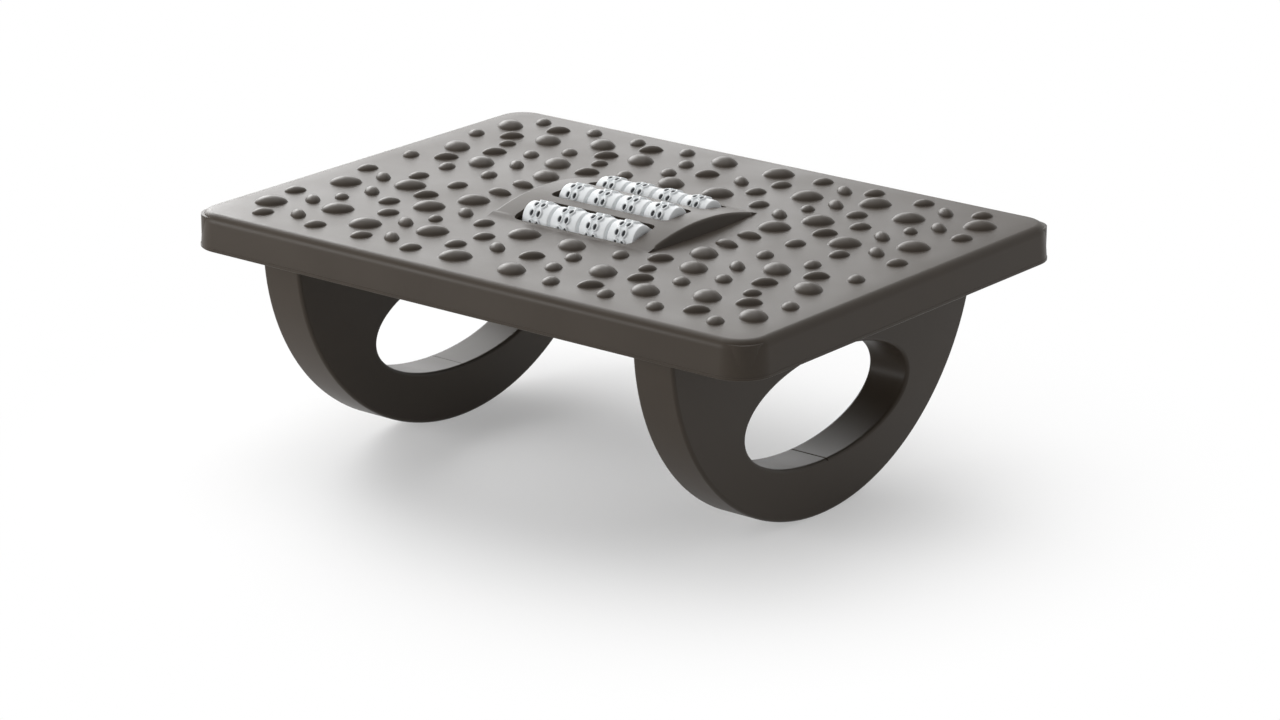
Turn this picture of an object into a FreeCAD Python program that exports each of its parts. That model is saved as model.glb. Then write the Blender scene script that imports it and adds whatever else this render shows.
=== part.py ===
import FreeCAD, Part

import math
import os
import re

import Sketcher
from FreeCAD import Placement, Rotation, Vector

# A rocking footrest: a pebbled deck with a low hump in the middle, three rows of
# massage rollers that stand through windows in the hump, and two rockers below.
# Millimetres. X runs along the long side and Z up. The floor is z = 0, and the
# origin lies under the middle of the deck.

doc = FreeCAD.newDocument("footrest")

# Counts of pieces and of the sides of what is many-sided
UNITS_PER_ROW = 4
UNIT_SIDES = 10
AXLE_SIDES = 6
BOSS_SIDES = 8
WINDOW_CORNER_SIDES = 12
SCREW_SIDES = 6
SCREW_HEAD_SIDES = 8

# Driving sizes, one cell of the sheet each
SIZES = {
    "deck_length": 450,
    "deck_depth": 334,
    "deck_top": 164.5,
    "skirt_height": 24.5,
    "skirt_wall": 3,
    "plate_thickness": 3,
    "corner_radius": 17,
    "top_edge_radius": 5,
    "hump_length": 130,
    "hump_depth": 114,
    "hump_rise": 8.5,
    "hump_end_lean": 2.6,
    "row_pitch": 37.5,
    "roller_proud": 5.7,
    "unit_radius": 11.8,
    "unit_end_radius": 6.6,
    "unit_length": 22.6,
    "unit_crown_length": 18.4,
    "unit_gap": 0.4,
    "dimple_width": 2.4,
    "dimple_length": 3.8,
    "dimple_depth": 2.4,
    "dimple_spacing": 5.4,
    "window_front": 16,
    "window_back": 13,
    "window_corner": 5,
    "window_end_gap": 2,
    "axle_flats": 5,
    "axle_fit": 0.05,
    "axle_shoulder": 1.2,
    "journal_radius": 2.3,
    "journal_fit": 0.06,
    "bearing_thickness": 4.5,
    "bearing_drop": 6,
    "bearing_cover": 5,
    "axle_end_gap": 0.4,
    "end_stop_thickness": 2.5,
    "retainer_thickness": 3,
    "retainer_width": 10,
    "retainer_end": 6,
    "retainer_boss_radius": 4,
    "tongue_gap": 0.2,
    "rib_thickness": 2.4,
    "boss_height": 9,
    "rocker_boss_radius": 5,
    "rocker_half_height": 150.5,
    "rocker_thickness": 30.5,
    "rocker_inset": 75.8,
    "rocker_skirt_gap": 3.5,
    "rocker_edge": 2.5,
    "flange_thickness": 5,
    "flange_width": 60,
    "hole_half_depth": 86,
    "hole_half_height": 35.5,
    "hole_centre": 71.4,
    "screw_radius": 2,
    "screw_reach": 7,
    "screw_fit": 0.1,
    "screw_head_radius": 3.8,
    "screw_head_height": 2.6,
    "rocker_screw_x": 22.5,
    "rocker_screw_y": 100,
    "large_pebble_length": 21.2,
    "large_pebble_width": 17.6,
    "large_pebble_rise": 4.2,
    "long_pebble_length": 16.8,
    "long_pebble_width": 9.8,
    "long_pebble_rise": 3.5,
    "small_pebble_length": 14.6,
    "small_pebble_width": 11,
    "small_pebble_rise": 3,
    "tiny_pebble_length": 12,
    "tiny_pebble_width": 9.4,
    "tiny_pebble_rise": 2.8,
    "overrun": 1,
}

# Places that follow from the sizes, as formulas in the same sheet
PLACES = {
    "skirt_bottom": "deck_top - skirt_height",
    "plate_bottom": "deck_top - plate_thickness",
    "plate_middle": "deck_top - plate_thickness / 2",
    "hump_radius": "(hump_depth ^ 2 / 4 + hump_rise ^ 2) / (2 * hump_rise)",
    "hump_axis": "deck_top + hump_rise - hump_radius",
    "roller_arc": "hump_radius + roller_proud - unit_radius",
    "side_row_y": "row_pitch * roller_arc / hump_radius",
    "side_row_z": "hump_axis + sqrt(roller_arc ^ 2 - side_row_y ^ 2)",
    "middle_row_z": "hump_axis + roller_arc",
    "row_length": f"{UNITS_PER_ROW} * (unit_length + unit_gap) - unit_gap",
    "bearing_start": "row_length / 2 + window_end_gap",
    "bearing_end": "bearing_start + bearing_thickness",
    "end_stop_start": "bearing_end + axle_end_gap",
    "end_stop_end": "end_stop_start + end_stop_thickness",
    "bearing_half_depth": "side_row_y + journal_radius + bearing_cover",
    "bearing_bottom": "side_row_z - bearing_drop",
    "retainer_bottom": "bearing_bottom - retainer_thickness",
    "retainer_centre": "bearing_start + retainer_width / 2",
    "retainer_screw_y": "bearing_half_depth + retainer_end",
    "retainer_half_depth": "retainer_screw_y + retainer_end",
    "journal_bore": "journal_radius + journal_fit",
    "screw_bore": "screw_radius + screw_fit",
    "rib_bottom": "plate_bottom - boss_height",
    "flange_bottom": "rib_bottom - flange_thickness",
    "rocker_x": "deck_length / 2 - rocker_inset",
    "rocker_half_depth": "deck_depth / 2 - skirt_wall - rocker_skirt_gap",
}

sheet = doc.addObject("Spreadsheet::Sheet", "sizes")
for row, (alias, number) in enumerate(SIZES.items(), start=1):
    sheet.set(f"A{row}", alias)
    sheet.set(f"B{row}", str(number))
    sheet.setAlias(f"B{row}", alias)
for row, (alias, formula) in enumerate(PLACES.items(), start=1):
    sheet.set(f"D{row}", alias)
    sheet.set(f"E{row}", f"={formula}")
    sheet.setAlias(f"E{row}", alias)
doc.recompute()

X_AXIS = Vector(1, 0, 0)
Y_TO_Z = Rotation(X_AXIS, 90)
Z_TO_X = Rotation(Vector(0, 1, 0), 90)
XY_TO_YZ = Rotation(Vector(1, 1, 1), 120)


def size(alias):
    return float(getattr(sheet, alias))


def bound(formula):
    """The formula with every alias read from the sheet."""
    aliases = set(SIZES) | set(PLACES)
    return re.sub(r"[a-z_]+", lambda word: f"sizes.{word[0]}" if word[0] in aliases else word[0], formula)


def bind(thing, **formulas):
    for name, formula in formulas.items():
        thing.setExpression(name, bound(formula))
    return thing


def move(thing, x="0", y="0", z="0"):
    for name, formula in (("x", x), ("y", y), ("z", z)):
        thing.setExpression(f"Placement.Base.{name}", bound(formula))
    return thing


def box(name, x, y, z):
    """A box between the pairs of formulas x, y and z."""
    thing = doc.addObject("Part::Box", name)
    bind(thing, Length=f"{x[1]} - ({x[0]})", Width=f"{y[1]} - ({y[0]})", Height=f"{z[1]} - ({z[0]})")
    return move(thing, x[0], y[0], z[0])


def upright(name, sides, radius, x, y, z):
    """A many-sided pin along Z between the pair of formulas z."""
    thing = doc.addObject("Part::Prism", name)
    thing.Polygon = sides
    bind(thing, Circumradius=radius, Height=f"{z[1]} - ({z[0]})")
    return move(thing, x, y, z[0])


def crosswise(name, radius, x, y, z):
    """A cylinder along X between the pair of formulas x."""
    thing = doc.addObject("Part::Cylinder", name)
    bind(thing, Radius=radius, Height=f"{x[1]} - ({x[0]})")
    thing.Placement = Placement(Vector(), Z_TO_X)
    return move(thing, x[0], y, z)


def fused(name, things):
    thing = doc.addObject("Part::MultiFuse", name)
    thing.Shapes = things
    return thing


def common(name, base, tool):
    thing = doc.addObject("Part::Common", name)
    thing.Base = base
    thing.Tool = tool
    return thing


def cut(name, base, tools):
    thing = doc.addObject("Part::Cut", name)
    thing.Base = base
    thing.Tool = tools[0] if len(tools) == 1 else fused(f"{name}_cutter", tools)
    return thing


def feature(name, shape):
    thing = doc.addObject("Part::Feature", name)
    thing.Shape = shape
    return thing


def ring_solid(rings):
    """A solid with flat faces between closed rings of points; the last may be one point."""
    faces = []
    for near, far in zip(rings, rings[1:]):
        for index, start in enumerate(near):
            after = (index + 1) % len(near)
            side = [far[0]] if len(far) == 1 else [far[after], far[index]]
            faces.append(Part.Face(Part.makePolygon([start, near[after], *side, start])))
    for ring in (rings[0], rings[-1]):
        if len(ring) > 1:
            faces.append(Part.Face(Part.makePolygon(ring + ring[:1])))
    solid = Part.Solid(Part.Shell(faces))
    if solid.Volume < 0:
        solid.reverse()
    return solid


# Deck moulding: a tray with rounded corners, open below
def origin_plane(body, role):
    return [plane for plane in body.Origin.OriginFeatures if plane.Role == role][0]


def rectangle_sketch(body, name, width, depth, height):
    """A rectangle about the Z axis, sized and raised by formulas."""
    sketch = body.newObject("Sketcher::SketchObject", name)
    sketch.AttachmentSupport = [(origin_plane(body, "XY_Plane"), "")]
    sketch.MapMode = "FlatFace"
    sketch.setExpression("AttachmentOffset.Base.z", bound(height))
    corners = [Vector(-1, -1, 0), Vector(1, -1, 0), Vector(1, 1, 0), Vector(-1, 1, 0)]
    for index, corner in enumerate(corners):
        sketch.addGeometry(Part.LineSegment(corner, corners[(index + 1) % 4]), False)
    for index in range(4):
        sketch.addConstraint(Sketcher.Constraint("Coincident", index, 2, (index + 1) % 4, 1))
    for index, direction in enumerate(("Horizontal", "Vertical", "Horizontal", "Vertical")):
        sketch.addConstraint(Sketcher.Constraint(direction, index))
    sketch.addConstraint(Sketcher.Constraint("Symmetric", 0, 1, 1, 2, -1, 1))
    across = sketch.addConstraint(Sketcher.Constraint("DistanceX", 0, 1, 0, 2, 2))
    along = sketch.addConstraint(Sketcher.Constraint("DistanceY", 1, 1, 1, 2, 2))
    sketch.setExpression(f"Constraints[{across}]", bound(width))
    sketch.setExpression(f"Constraints[{along}]", bound(depth))
    return sketch


def fillet(body, name, base, radius, wanted):
    """Rounds the edges of base that wanted() picks."""
    doc.recompute()
    rounded = body.newObject("PartDesign::Fillet", name)
    edges = [f"Edge{index}" for index, edge in enumerate(base.Shape.Edges, start=1) if wanted(edge)]
    rounded.Base = (base, edges)
    return bind(rounded, Radius=radius)


def upright_edge(edge):
    return edge.BoundBox.ZLength > size("skirt_height") / 2


def outer_upright_edge(edge):
    return upright_edge(edge) and edge.BoundBox.ZMax > size("plate_middle")


def top_edge(edge):
    return edge.BoundBox.ZMin > size("plate_middle")


def inner_upright_edge(edge):
    middle = edge.BoundBox.Center
    inside_x = abs(middle.x) < size("deck_length") / 2 - size("skirt_wall") / 2
    inside_y = abs(middle.y) < size("deck_depth") / 2 - size("skirt_wall") / 2
    return upright_edge(edge) and inside_x and inside_y


tray = doc.addObject("PartDesign::Body", "tray")
tray_outline = rectangle_sketch(tray, "tray_outline", "deck_length", "deck_depth", "skirt_bottom")
tray_block = tray.newObject("PartDesign::Pad", "tray_block")
tray_block.Profile = tray_outline
bind(tray_block, Length="skirt_height")
inner_length = "deck_length - 2 * skirt_wall"
inner_depth = "deck_depth - 2 * skirt_wall"
tray_inside = rectangle_sketch(tray, "tray_inside", inner_length, inner_depth, "skirt_bottom")
doc.recompute()
tray_hollow = tray.newObject("PartDesign::Pocket", "tray_hollow")
tray_hollow.Profile = tray_inside
tray_hollow.Reversed = True
bind(tray_hollow, Length="skirt_height - plate_thickness")
inner_corners = fillet(tray, "inner_corners", tray_hollow, "corner_radius - skirt_wall", inner_upright_edge)
outer_corners = fillet(tray, "outer_corners", inner_corners, "corner_radius", outer_upright_edge)
fillet(tray, "top_rim", outer_corners, "top_edge_radius", top_edge)

# Hump: a slice of a wide cylinder, hollow below like the plate. Its end walls lean out
# towards their feet
def hump_end(side):
    """The section at one end of the hump, drawn out and down along the lean of the wall."""
    sign = SIDES[side]
    half_depth = size("hump_depth") / 2
    end = sign * size("hump_length") / 2
    corners = [Vector(end, y, size("deck_top")) for y in (-half_depth, half_depth)]
    crown = Vector(end, 0, size("deck_top") + size("hump_rise"))
    arch = Part.Arc(corners[0], crown, corners[1]).toShape()
    section = Part.Face(Part.Wire([arch, Part.makeLine(*corners)]))
    return feature(f"{side}_hump_end", section.extrude(Vector(sign * size("hump_end_lean"), 0, -size("hump_rise"))))


SIDES = {"left": -1, "right": 1}
hump_round = crosswise(
    "hump_round", "hump_radius", ("-hump_length / 2", "hump_length / 2"), "0", "hump_axis"
)
hump_limits = box(
    "hump_limits",
    ("-hump_length", "hump_length"),
    ("-hump_depth / 2", "hump_depth / 2"),
    ("plate_middle", "deck_top + hump_rise"),
)
hump = common("hump", fused("hump_whole", [hump_round, *map(hump_end, SIDES)]), hump_limits)

hollow_half_length = "(hump_length / 2 - plate_thickness)"
hollow_x = (f"-{hollow_half_length}", hollow_half_length)
hollow_round = crosswise("hollow_round", "hump_radius - plate_thickness", hollow_x, "0", "hump_axis")
hollow_limits = box(
    "hollow_limits",
    hollow_x,
    ("-hump_depth / 2", "hump_depth / 2"),
    ("plate_bottom - overrun", "deck_top + hump_rise"),
)
hump_hollow = common("hump_hollow", hollow_round, hollow_limits)

SIGNS = (-1, 1)
WINDOW_X = ("-bearing_start", "bearing_start")
WINDOW_Z = ("plate_bottom - overrun", "deck_top + hump_rise + overrun")


def narrowed(span):
    return (f"{span[0]} + window_corner", f"{span[1]} - window_corner")


def window(row, place):
    """Cutter of one window with round corners, for the row at this place."""
    y = (f"{place} * row_pitch - window_front", f"{place} * row_pitch + window_back")
    blocks = [
        box(f"{row}_window_length", WINDOW_X, narrowed(y), WINDOW_Z),
        box(f"{row}_window_depth", narrowed(WINDOW_X), y, WINDOW_Z),
    ]
    for corner_x in narrowed(WINDOW_X):
        for corner_y in narrowed(y):
            name = f"{row}_window_corner_{len(blocks) - 1}"
            blocks.append(upright(name, WINDOW_CORNER_SIDES, "window_corner", corner_x, corner_y, WINDOW_Z))
    return fused(f"{row}_window", blocks)


windows = [window(row, place) for row, place in (("front", -1), ("middle", 0), ("back", 1))]
deck_skin = cut("deck_skin", fused("deck_block", [tray, hump]), [hump_hollow, *windows])

# Axle bearings under the hump: a slotted web and an end stop on each side
ROWS = {
    "front": ("-side_row_y", "side_row_z", 22),
    "middle": ("0", "middle_row_z", 20),
    "back": ("side_row_y", "side_row_z", 8),
}


def mirrored(side, near, far):
    """The pair of formulas for a span from near to far on one side of X = 0."""
    return (near, far) if SIDES[side] > 0 else (f"-({far})", f"-({near})")


webs = []
slots = []
web_y = ("-bearing_half_depth", "bearing_half_depth")
web_z = ("bearing_bottom", "deck_top + hump_rise")
under_hump = crosswise(
    "under_hump", "hump_radius - plate_thickness / 2", ("-hump_length", "hump_length"), "0", "hump_axis"
)
for side in SIDES:
    bearing_x = mirrored(side, "bearing_start", "bearing_end")
    stop_x = mirrored(side, "end_stop_start", "end_stop_end")
    web_block = fused(
        f"{side}_web_block",
        [box(f"{side}_bearing", bearing_x, web_y, web_z), box(f"{side}_end_stop", stop_x, web_y, web_z)],
    )
    webs.append(common(f"{side}_web", web_block, under_hump))
    for row, (y, z, _) in ROWS.items():
        slot_y = (f"{y} - journal_bore", f"{y} + journal_bore")
        slots.append(box(f"{side}_{row}_slot", bearing_x, slot_y, ("bearing_bottom - overrun", z)))
        slots.append(crosswise(f"{side}_{row}_bearing", "journal_bore", bearing_x, y, z))

# Ribs under the plate, with their lower edges in line with the bosses
rib_z = ("rib_bottom", "plate_middle")
ribs = []
for side in SIDES:
    rib_x = mirrored(side, "rocker_x - rib_thickness / 2", "rocker_x + rib_thickness / 2")
    rib_y = ("-deck_depth / 2 + skirt_wall / 2", "deck_depth / 2 - skirt_wall / 2")
    ribs.append(box(f"{side}_cross_rib", rib_x, rib_y, rib_z))
for side in SIDES:
    rib_x = ("-deck_length / 2 + skirt_wall / 2", "deck_length / 2 - skirt_wall / 2")
    rib_y = mirrored(side, "rocker_screw_y - rib_thickness / 2", "rocker_screw_y + rib_thickness / 2")
    ribs.append(box(f"{side}_long_rib", rib_x, rib_y, rib_z))


# Screws: four hold each rocker and two hold each axle retainer
ROCKER_SCREWS = [
    (f"{side} * rocker_x + ({across} * rocker_screw_x)", f"{along} * rocker_screw_y")
    for side in SIGNS
    for across in SIGNS
    for along in SIGNS
]
RETAINER_SCREWS = [
    (f"{side} * retainer_centre", f"{along} * retainer_screw_y") for side in SIGNS for along in SIGNS
]


def screw_set(name, places, seat, joint):
    """Bosses, their bores and the screws with their heads under the level seat."""
    bosses = []
    bores = []
    screws = []
    top = f"{joint} + screw_reach"
    for index, (x, y) in enumerate(places, start=1):
        boss_z = (joint, "plate_middle")
        bosses.append(upright(f"{name}_boss_{index}", BOSS_SIDES, f"{name}_boss_radius", x, y, boss_z))
        bore_z = (f"{seat} - overrun", f"{top} + screw_fit")
        bores.append(upright(f"{name}_bore_{index}", SCREW_SIDES, "screw_bore", x, y, bore_z))
        shank = upright(f"{name}_shank_{index}", SCREW_SIDES, "screw_radius", x, y, (seat, top))
        head_z = (f"{seat} - screw_head_height", seat)
        head = upright(f"{name}_head_{index}", SCREW_HEAD_SIDES, "screw_head_radius", x, y, head_z)
        screws.append(fused(f"{name}_screw_{index}", [head, shank]))
    group = doc.addObject("Part::Compound", f"{name}_screws")
    group.Links = screws
    return bosses, bores, group


rocker_bosses, rocker_bores, rocker_screws = screw_set("rocker", ROCKER_SCREWS, "flange_bottom", "rib_bottom")
retainer_bosses, retainer_bores, retainer_screws = screw_set(
    "retainer", RETAINER_SCREWS, "retainer_bottom", "bearing_bottom"
)

# Pebbles: places as shares of the deck's half length and half depth in one quarter,
# then the kind and the turn of its long axis in degrees; the pattern has two mirror lines
PEBBLE_SHARES = (
    (0.88, 0.13, "small", 65),
    (0.71, 0.085, "small", 70),
    (0.555, 0.095, "small", 70),
    (0.41, 0.07, "long", 5),
    (0.78, 0.19, "long", -45),
    (0.66, 0.215, "large", 45),
    (0.56, 0.275, "long", 50),
    (0.415, 0.22, "large", 40),
    (0.83, 0.335, "large", 40),
    (0.705, 0.37, "long", -45),
    (0.6, 0.43, "small", 55),
    (0.475, 0.39, "large", 45),
    (0.35, 0.37, "long", -45),
    (0.38, 0.5, "tiny", -60),
    (0.735, 0.5, "tiny", -50),
    (0.525, 0.55, "small", 55),
    (0.885, 0.545, "small", 60),
    (0.78, 0.6, "long", -45),
    (0.66, 0.635, "large", 45),
    (0.42, 0.61, "long", -45),
    (0.305, 0.635, "large", 45),
    (0.86, 0.72, "large", 45),
    (0.71, 0.785, "long", -45),
    (0.5, 0.72, "large", 45),
    (0.355, 0.79, "long", -45),
    (0.805, 0.845, "small", 60),
    (0.605, 0.845, "small", 55),
    (0.435, 0.84, "small", 60),
    (0.25, 0.845, "small", 60),
    (0.1, 0.825, "large", 40),
    (0.175, 0.705, "small", 60),
    (0.062, 0.645, "long", -45),
    (0.16, 0.565, "small", 60),
    (0.245, 0.43, "small", 65),
    (0.085, 0.45, "large", 40),
)
# Width and height of a pebble's rings as shares of its base and of its rise
DOME_SHARES = ((1, 0), (0.74, 0.68), (0, 1))
PEBBLE_SIDES = {"large": 7, "long": 6, "small": 5, "tiny": 5}


def ellipse_ring(half_length, half_width, turn, centre, sides):
    """Points round an ellipse, or the centre alone when it has no width."""
    if not half_width:
        return [centre]
    points = []
    for index in range(sides):
        around = 2 * math.pi * (index + 0.5) / sides
        point = Vector(half_length * math.cos(around), half_width * math.sin(around), 0)
        points.append(centre + Rotation(Vector(0, 0, 1), turn).multVec(point))
    return points


def pebble(x, y, kind, turn):
    """A low dome whose foot is sunk into the plate by the overrun."""
    half_length = size(f"{kind}_pebble_length") / 2
    half_width = size(f"{kind}_pebble_width") / 2
    rise = size(f"{kind}_pebble_rise")
    sides = PEBBLE_SIDES[kind]
    foot = Vector(x, y, size("deck_top") - size("overrun"))
    rings = [ellipse_ring(half_length, half_width, turn, foot, sides)]
    for width_share, height_share in DOME_SHARES:
        level = Vector(x, y, size("deck_top") + rise * height_share)
        rings.append(ellipse_ring(half_length * width_share, half_width * width_share, turn, level, sides))
    return ring_solid(rings)


pebbles = []
for x_share, y_share, kind, turn in PEBBLE_SHARES:
    for x_sign in SIGNS:
        for y_sign in SIGNS:
            pebble_x = x_sign * x_share * size("deck_length") / 2
            pebble_y = y_sign * y_share * size("deck_depth") / 2
            pebbles.append(pebble(pebble_x, pebble_y, kind, turn * x_sign * y_sign))
pebble_field = feature("pebble_field", Part.makeCompound(pebbles))

deck_parts = [deck_skin, *webs, *ribs, *rocker_bosses, *retainer_bosses, pebble_field]
deck = cut("deck", fused("deck_whole", deck_parts), [*slots, *rocker_bores, *retainer_bores])


# Rockers: half an ellipse with an oval hole, under a flange that takes the screws
def oval_block(name, half_depth, half_height, z):
    """An elliptical block across X, centred on X = 0."""
    outline = doc.addObject("Part::Ellipse", f"{name}_outline")
    bind(outline, MajorRadius=half_depth, MinorRadius=half_height)
    outline.Placement = Placement(Vector(), XY_TO_YZ)
    move(outline, z=z)
    block = doc.addObject("Part::Extrusion", name)
    block.Base = outline
    block.DirMode = "Custom"
    block.Dir = X_AXIS
    block.Solid = True
    block.Symmetric = True
    return bind(block, LengthFwd="rocker_thickness")


rocker_round = oval_block("rocker_round", "rocker_half_depth", "rocker_half_height", "rocker_half_height")
hole_oval = oval_block("hole_oval", "hole_half_depth", "hole_half_height", "hole_centre")
above_flange = box(
    "above_flange",
    ("-rocker_thickness", "rocker_thickness"),
    ("-2 * rocker_half_depth", "2 * rocker_half_depth"),
    ("flange_bottom", "3 * rocker_half_height"),
)
rocker_side = cut("rocker_side", rocker_round, [above_flange, hole_oval])
doc.recompute()


def rim_edge(edge):
    """True for the curved edges of the two side faces."""
    return edge.BoundBox.XLength < size("rocker_edge") < edge.BoundBox.ZLength


rocker_plate = doc.addObject("Part::Chamfer", "rocker_plate")
rocker_plate.Base = rocker_side
rims = [index for index, edge in enumerate(rocker_side.Shape.Edges, start=1) if rim_edge(edge)]
rocker_plate.Edges = [(index, size("rocker_edge"), size("rocker_edge")) for index in rims]
flange = box(
    "flange",
    ("-flange_width / 2", "flange_width / 2"),
    ("-rocker_half_depth", "rocker_half_depth"),
    ("flange_bottom", "rib_bottom"),
)
flange_holes = [
    upright(
        f"flange_hole_{index}",
        SCREW_SIDES,
        "screw_bore",
        f"{across} * rocker_screw_x",
        f"{along} * rocker_screw_y",
        ("flange_bottom - overrun", "rib_bottom + overrun"),
    )
    for index, (across, along) in enumerate([(a, b) for a in SIGNS for b in SIGNS], start=1)
]
rocker_shape = cut("rocker_shape", fused("rocker_block", [rocker_plate, flange]), flange_holes)
doc.recompute()
rockers = {}
for side, sign in SIDES.items():
    rockers[side] = feature(f"{side}_rocker", rocker_shape.Shape.copy())
    move(rockers[side], x=f"{sign} * rocker_x")

# Axle retainers: a bar below each bearing web, with a tongue up into each slot
retainers = {}
for side in SIDES:
    bar_x = mirrored(side, "bearing_start", "bearing_start + retainer_width")
    bar_y = ("-retainer_half_depth", "retainer_half_depth")
    bearing_x = mirrored(side, "bearing_start", "bearing_end")
    bar = [box(f"{side}_bar", bar_x, bar_y, ("retainer_bottom", "bearing_bottom"))]
    for row, (y, z, _) in ROWS.items():
        tongue_y = (f"{y} - journal_bore + tongue_gap", f"{y} + journal_bore - tongue_gap")
        tongue_z = ("bearing_bottom", f"{z} - journal_bore")
        bar.append(box(f"{side}_{row}_tongue", bearing_x, tongue_y, tongue_z))
    whole = fused(f"{side}_retainer_block", bar)
    retainers[side] = cut(f"{side}_axle_retainer", whole, retainer_bores)

# Axles: a hexagonal bar that drives the roller units, turned down at both ends
axle_circumradius = f"axle_flats / 2 / cos({180 / AXLE_SIDES} deg)"
hexagon_end = "(row_length / 2 + axle_shoulder)"
axles = {}
for row, (y, z, phase) in ROWS.items():
    journal = crosswise(f"{row}_journal", "journal_radius", ("-bearing_end", "bearing_end"), y, z)
    hexagon = doc.addObject("Part::Prism", f"{row}_hexagon")
    hexagon.Polygon = AXLE_SIDES
    bind(hexagon, Circumradius=axle_circumradius, Height=f"2 * {hexagon_end}")
    hexagon.Placement = Placement(Vector(), Rotation(X_AXIS, phase).multiply(Z_TO_X))
    move(hexagon, f"-{hexagon_end}", y, z)
    axles[row] = fused(f"{row}_axle", [journal, hexagon])

# Roller units: many-sided barrels with a pair of dimples in each side
UNIT_RINGS = (("unit_length", "unit_end_radius"), ("unit_crown_length", "unit_radius"))


def across_ring(radius, x, sides, start):
    """A regular ring of points about the X axis; the angle is measured from +Z towards -Y."""
    points = []
    for index in range(sides):
        around = math.radians(start) + 2 * math.pi * index / sides
        points.append(Vector(x, -radius * math.sin(around), radius * math.cos(around)))
    return points


def dimple(x, angle):
    """A pointed pit with a rectangular mouth, straight down into the side that faces the angle."""
    flat = size("unit_radius") * math.cos(math.pi / UNIT_SIDES)
    widening = 1 + size("overrun") / size("dimple_depth")
    half_width = size("dimple_width") / 2 * widening
    half_length = size("dimple_length") / 2 * widening
    above = flat + size("overrun")
    mouth = [
        Vector(x_sign * half_width, y_sign * half_length, above)
        for x_sign, y_sign in ((-1, -1), (1, -1), (1, 1), (-1, 1))
    ]
    pit = ring_solid([mouth, [Vector(0, 0, flat - size("dimple_depth"))]])
    pit.Placement = Placement(Vector(x, 0, 0), Rotation(X_AXIS, angle))
    return pit


def roller_unit():
    turn = 180 / UNIT_SIDES
    left = [across_ring(size(r), -size(x) / 2, UNIT_SIDES, turn) for x, r in UNIT_RINGS]
    right = [across_ring(size(r), size(x) / 2, UNIT_SIDES, turn) for x, r in reversed(UNIT_RINGS)]
    barrel = ring_solid(left + right)
    bore_radius = size("axle_flats") / 2 / math.cos(math.pi / AXLE_SIDES) + size("axle_fit")
    half_bore = size("unit_length") / 2 + size("overrun")
    bore = ring_solid([across_ring(bore_radius, x, AXLE_SIDES, 0) for x in (-half_bore, half_bore)])
    pits = [
        dimple(sign * size("dimple_spacing") / 2, index * 360 / UNIT_SIDES)
        for sign in SIGNS
        for index in range(UNIT_SIDES)
    ]
    return barrel.cut([bore, *pits])


unit_shape = roller_unit()
units = {}
for row, (y, z, phase) in ROWS.items():
    for index in range(UNITS_PER_ROW):
        unit = feature(f"{row}_roller_{index + 1}", unit_shape.copy())
        unit.Placement = Placement(Vector(), Rotation(X_AXIS, phase))
        move(unit, f"({index} - {(UNITS_PER_ROW - 1) / 2}) * (unit_length + unit_gap)", y, z)
        units[unit.Name] = unit

# Check and write each piece
doc.recompute()
nodes = {
    "deck": deck,
    "left_rocker": rockers["left"],
    "right_rocker": rockers["right"],
    "rocker_screws": rocker_screws,
    "left_axle_retainer": retainers["left"],
    "right_axle_retainer": retainers["right"],
    "retainer_screws": retainer_screws,
    **{f"{row}_axle": axle for row, axle in axles.items()},
    **units,
}
for thing in doc.Objects:
    if {"Invalid", "Error"} & set(thing.State):
        raise RuntimeError(f"{thing.Name} failed: {thing.State}")
os.makedirs("parts", exist_ok=True)
for name, thing in nodes.items():
    thing.Label = name
    if thing.Shape.isNull() or not thing.Shape.isValid():
        raise RuntimeError(f"{name} has no valid shape")
    thing.Shape.exportStep(f"parts/{name}.step")
    print(name, len(thing.Shape.Solids), "solids", round(thing.Shape.Volume), "cubic mm")
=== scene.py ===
import math

import bmesh
import bpy
from mathutils import Matrix, Vector


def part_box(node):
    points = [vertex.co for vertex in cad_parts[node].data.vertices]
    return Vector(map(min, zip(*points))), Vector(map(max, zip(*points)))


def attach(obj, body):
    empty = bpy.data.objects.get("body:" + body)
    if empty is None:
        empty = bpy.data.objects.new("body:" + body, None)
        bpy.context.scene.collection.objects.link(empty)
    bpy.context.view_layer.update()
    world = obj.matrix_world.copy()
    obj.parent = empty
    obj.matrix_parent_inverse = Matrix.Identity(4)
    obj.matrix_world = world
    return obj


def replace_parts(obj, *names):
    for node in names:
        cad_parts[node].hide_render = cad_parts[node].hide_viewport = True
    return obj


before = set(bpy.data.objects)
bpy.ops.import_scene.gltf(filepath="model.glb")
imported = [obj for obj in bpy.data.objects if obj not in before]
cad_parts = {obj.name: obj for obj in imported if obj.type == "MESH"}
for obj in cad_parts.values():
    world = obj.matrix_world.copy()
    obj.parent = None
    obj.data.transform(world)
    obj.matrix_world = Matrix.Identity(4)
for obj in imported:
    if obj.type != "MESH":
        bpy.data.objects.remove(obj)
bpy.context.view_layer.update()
MM = 0.001

# Camera: it looks down on the near long side and the right end from about two metres,
# through a long lens, a little out of level
CAMERA_PLACE = Vector((1.5783, -1.9981, 0.9103))
CAMERA_TURN_DEG = 38.043
CAMERA_DOWN_DEG = 18.332
CAMERA_ROLL_DEG = 0.281
LENS_MM = 116.79
camera = bpy.data.objects.new("camera", bpy.data.cameras.new("camera"))
bpy.context.scene.collection.objects.link(camera)
camera.data.sensor_width = 36
camera.data.lens = LENS_MM
level_view = Matrix.Rotation(math.radians(CAMERA_TURN_DEG), 4, "Z")
tilted_view = level_view @ Matrix.Rotation(math.radians(90 - CAMERA_DOWN_DEG), 4, "X")
rolled_view = tilted_view @ Matrix.Rotation(math.radians(CAMERA_ROLL_DEG), 4, "Z")
camera.matrix_world = Matrix.Translation(CAMERA_PLACE) @ rolled_view
bpy.context.scene.camera = camera


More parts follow.
